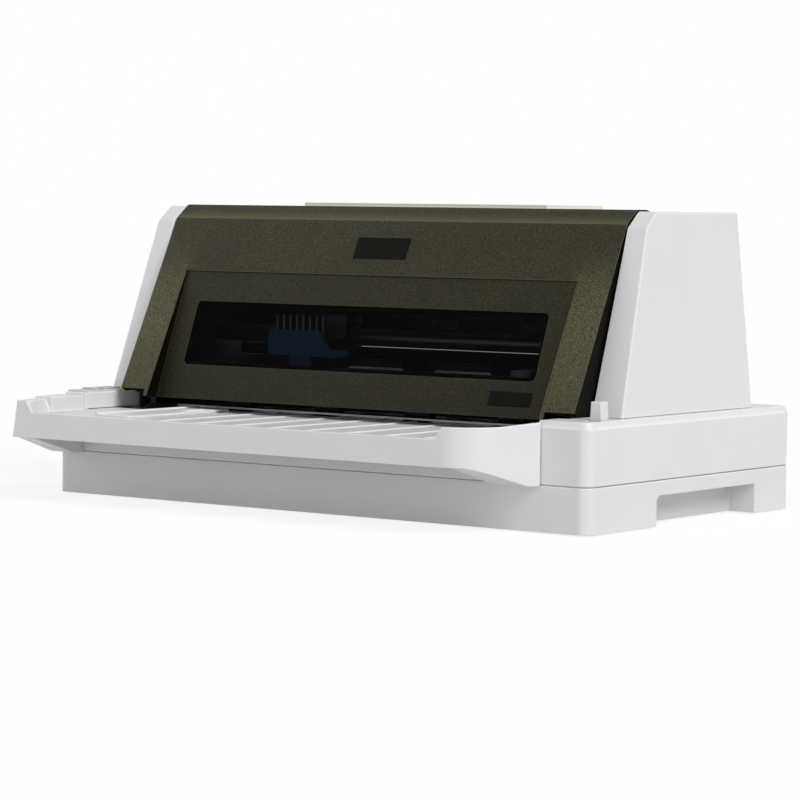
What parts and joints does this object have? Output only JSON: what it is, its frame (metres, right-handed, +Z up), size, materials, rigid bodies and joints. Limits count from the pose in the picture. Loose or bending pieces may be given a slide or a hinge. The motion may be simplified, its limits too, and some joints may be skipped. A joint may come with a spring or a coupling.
{
  "type": "dot matrix printer",
  "caption": "Flatbed dot matrix printer with a dark hinged front cover and smoked window, a light case, a ribbed front paper table, a release lever and a belt-driven print head inside",
  "frame": {"origin": "middle of the footprint, on the surface that the feet stand on", "axes": "+X runs across the front to the right, -Y points at the user in front, +Z is up"},
  "size_m": [0.37, 0.261, 0.1717],
  "materials": {
    "case_dark": "moulded light grey, lower case",
    "case_light": "moulded off-white",
    "lid_beige": "moulded beige grey",
    "cover": "dark bronze with fine metallic grain",
    "window": "smoked clear sheet",
    "plate": "bare dark plate",
    "panel_grey": "satin grey",
    "button": "grey buttons",
    "lens": "small green lenses",
    "rubber": "black rubber",
    "pinch": "dark grey plastic rollers",
    "steel": "ground steel",
    "plate_steel": "zinc-plated sheet steel",
    "rail_dark": "dark coated sheet steel",
    "gear": "natural white gear plastic",
    "brass": "machined brass",
    "motor": "black motor can",
    "black": "black moulded plastic",
    "head": "dark grey head body",
    "sink": "cast fins",
    "blue": "blue guard",
    "ribbon": "inked ribbon",
    "board": "green board",
    "supply": "tan board",
    "socket": "black sockets"
  },
  "bodies": {
    "case": {"lower_case": "case_dark", "upper_case": "case_light", "left_housing": "case_light", "right_housing": "case_light", "rear_housing": "case_light", "paper_table": "case_light", "control_panel": "panel_grey", "indicator_lenses": "lens", "feet": "rubber", "case_screws": "steel", "left_frame": "plate_steel", "right_frame": "plate_steel", "cross_plate": "plate_steel", "rear_rail": "rail_dark", "guide_shaft": "steel", "lower_guide": "plate_steel", "rear_pressure_shaft": "steel", "feed_motor": "motor", "carriage_motor": "motor", "drive_belt": "rubber", "ribbon_cartridge": "black", "ribbon": "ribbon", "main_board": "board", "power_supply": "supply", "rear_sockets": "socket"},
    "cover": {"front_cover": "cover", "cover_window": "window", "label_plates": "plate", "cover_pins": "steel"},
    "lid": {"top_lid": "lid_beige"},
    "guide": {"edge_guide": "case_light"},
    "pause": {"pause_button": "button"},
    "feed": {"feed_button": "button"},
    "select": {"select_button": "button"},
    "release": {"release_lever": "case_light", "release_shaft": "steel"},
    "platen_roller": {"platen": "rubber", "platen_shaft": "steel"},
    "front_feed": {"front_feed_rollers": "rubber", "front_feed_shaft": "steel"},
    "rear_feed": {"rear_feed_rollers": "rubber", "rear_feed_shaft": "steel"},
    "exit_feed": {"exit_rollers": "rubber", "exit_shaft": "steel"},
    "front_idler": {"front_idler_gear": "gear"},
    "rear_idler": {"rear_idler_gear": "gear"},
    "pinion": {"motor_pinion": "brass"},
    "exit_idler_a": {"exit_gear_a": "gear"},
    "exit_idler_b": {"exit_gear_b": "gear"},
    "front_pinch": {"front_pressure_shaft": "steel"},
    "front_pinch_rollers": {"front_pressure_rollers": "pinch"},
    "rear_pinch_rollers": {"rear_pressure_rollers": "pinch"},
    "belt_drive": {"drive_pulley": "brass"},
    "belt_idler": {"idler_pulley": "gear"},
    "carriage_body": {"carriage": "black", "print_head": "head", "head_heatsink": "sink", "ribbon_guard": "blue"},
    "knob": {"ribbon_knob": "panel_grey"},
    "rocker": {"power_switch": "black"}
  },
  "joints": [
    {"name": "cover_hinge", "type": "hinge", "parent": "case", "child": "cover", "pos_m": [0, 0.0121, 0.1615], "axis": [-1, 0, 0], "range_deg": [0, 85]},
    {"name": "lid_hinge", "type": "hinge", "parent": "case", "child": "lid", "pos_m": [0, 0.0775, 0.1702], "axis": [-1, 0, 0], "range_deg": [0, 75]},
    {"name": "guide_slide", "type": "slide", "parent": "case", "child": "guide", "axis": [1, 0, 0], "range_m": [-0.021, 0.014]},
    {"name": "pause_press", "type": "slide", "parent": "case", "child": "pause", "axis": [0, 0, -1], "range_m": [0, 0.001], "stiffness_N_per_m": 250},
    {"name": "feed_press", "type": "slide", "parent": "case", "child": "feed", "axis": [0, 0, -1], "range_m": [0, 0.001], "stiffness_N_per_m": 250},
    {"name": "select_press", "type": "slide", "parent": "case", "child": "select", "axis": [0, 0, -1], "range_m": [0, 0.001], "stiffness_N_per_m": 250},
    {"name": "release_turn", "type": "hinge", "parent": "case", "child": "release", "pos_m": [0, -0.06, 0.0398], "axis": [1, 0, 0], "range_deg": [0, 14]},
    {"name": "platen_spin", "type": "hinge", "parent": "case", "child": "platen_roller", "pos_m": [0, 0, 0.0407], "axis": [1, 0, 0], "continuous": true},
    {"name": "front_feed_spin", "type": "hinge", "parent": "case", "child": "front_feed", "pos_m": [0, -0.0194, 0.0437], "axis": [1, 0, 0], "continuous": true},
    {"name": "rear_feed_spin", "type": "hinge", "parent": "case", "child": "rear_feed", "pos_m": [0, 0.0194, 0.0437], "axis": [1, 0, 0], "continuous": true},
    {"name": "exit_spin", "type": "hinge", "parent": "case", "child": "exit_feed", "pos_m": [0, 0.067, 0.0764], "axis": [1, 0, 0], "continuous": true},
    {"name": "front_idler_spin", "type": "hinge", "parent": "case", "child": "front_idler", "pos_m": [0, -0.01385, 0.03085], "axis": [1, 0, 0], "continuous": true},
    {"name": "rear_idler_spin", "type": "hinge", "parent": "case", "child": "rear_idler", "pos_m": [0, 0.01385, 0.03085], "axis": [1, 0, 0], "continuous": true},
    {"name": "pinion_spin", "type": "hinge", "parent": "case", "child": "pinion", "pos_m": [0, 0.02234, 0.02236], "axis": [1, 0, 0], "continuous": true},
    {"name": "exit_idler_a_spin", "type": "hinge", "parent": "case", "child": "exit_idler_a", "pos_m": [0, 0.03702, 0.05082], "axis": [1, 0, 0], "continuous": true},
    {"name": "exit_idler_b_spin", "type": "hinge", "parent": "case", "child": "exit_idler_b", "pos_m": [0, 0.05909, 0.06023], "axis": [1, 0, 0], "continuous": true},
    {"name": "pinch_lift", "type": "slide", "parent": "case", "child": "front_pinch", "axis": [0, 0, 1], "range_m": [0, 0.0008]},
    {"name": "front_pinch_spin", "type": "hinge", "parent": "front_pinch", "child": "front_pinch_rollers", "pos_m": [0, -0.0194, 0.0558], "axis": [1, 0, 0], "continuous": true},
    {"name": "rear_pinch_spin", "type": "hinge", "parent": "case", "child": "rear_pinch_rollers", "pos_m": [0, 0.0194, 0.0558], "axis": [1, 0, 0], "continuous": true},
    {"name": "carriage_slide", "type": "slide", "parent": "case", "child": "carriage_body", "axis": [1, 0, 0], "range_m": [-0.0415, 0.1615]},
    {"name": "belt_drive_spin", "type": "hinge", "parent": "case", "child": "belt_drive", "pos_m": [0.133, 0.036, 0.0809], "axis": [0, 0, 1], "continuous": true},
    {"name": "belt_idler_spin", "type": "hinge", "parent": "case", "child": "belt_idler", "pos_m": [-0.133, 0.036, 0.0809], "axis": [0, 0, 1], "continuous": true},
    {"name": "knob_turn", "type": "hinge", "parent": "case", "child": "knob", "pos_m": [0.106, -0.0275, 0.0778], "axis": [0, 0, 1], "continuous": true},
    {"name": "rocker_tilt", "type": "hinge", "parent": "case", "child": "rocker", "pos_m": [0.092, 0.1244, 0.0145], "axis": [1, 0, 0], "range_deg": [0, 8]}
  ],
  "couplings": [
    {"joint": "front_feed_spin", "follows": "platen_spin", "ratio": 1.4286},
    {"joint": "rear_feed_spin", "follows": "platen_spin", "ratio": 1.4286},
    {"joint": "front_idler_spin", "follows": "platen_spin", "ratio": -1.4286},
    {"joint": "rear_idler_spin", "follows": "platen_spin", "ratio": -1.4286},
    {"joint": "pinion_spin", "follows": "platen_spin", "ratio": 2},
    {"joint": "exit_idler_a_spin", "follows": "platen_spin", "ratio": -0.83333},
    {"joint": "exit_idler_b_spin", "follows": "platen_spin", "ratio": 0.83333},
    {"joint": "exit_spin", "follows": "platen_spin", "ratio": -1.6667},
    {"joint": "rear_pinch_spin", "follows": "platen_spin", "ratio": -2.2222},
    {"joint": "front_pinch_spin", "follows": "platen_spin", "ratio": -2.2222},
    {"joint": "release_turn", "follows": "pinch_lift", "rad_per_m": 305.43},
    {"joint": "belt_drive_spin", "follows": "carriage_slide", "rad_per_m": 166.67},
    {"joint": "belt_idler_spin", "follows": "carriage_slide", "rad_per_m": 166.67}
  ]
}
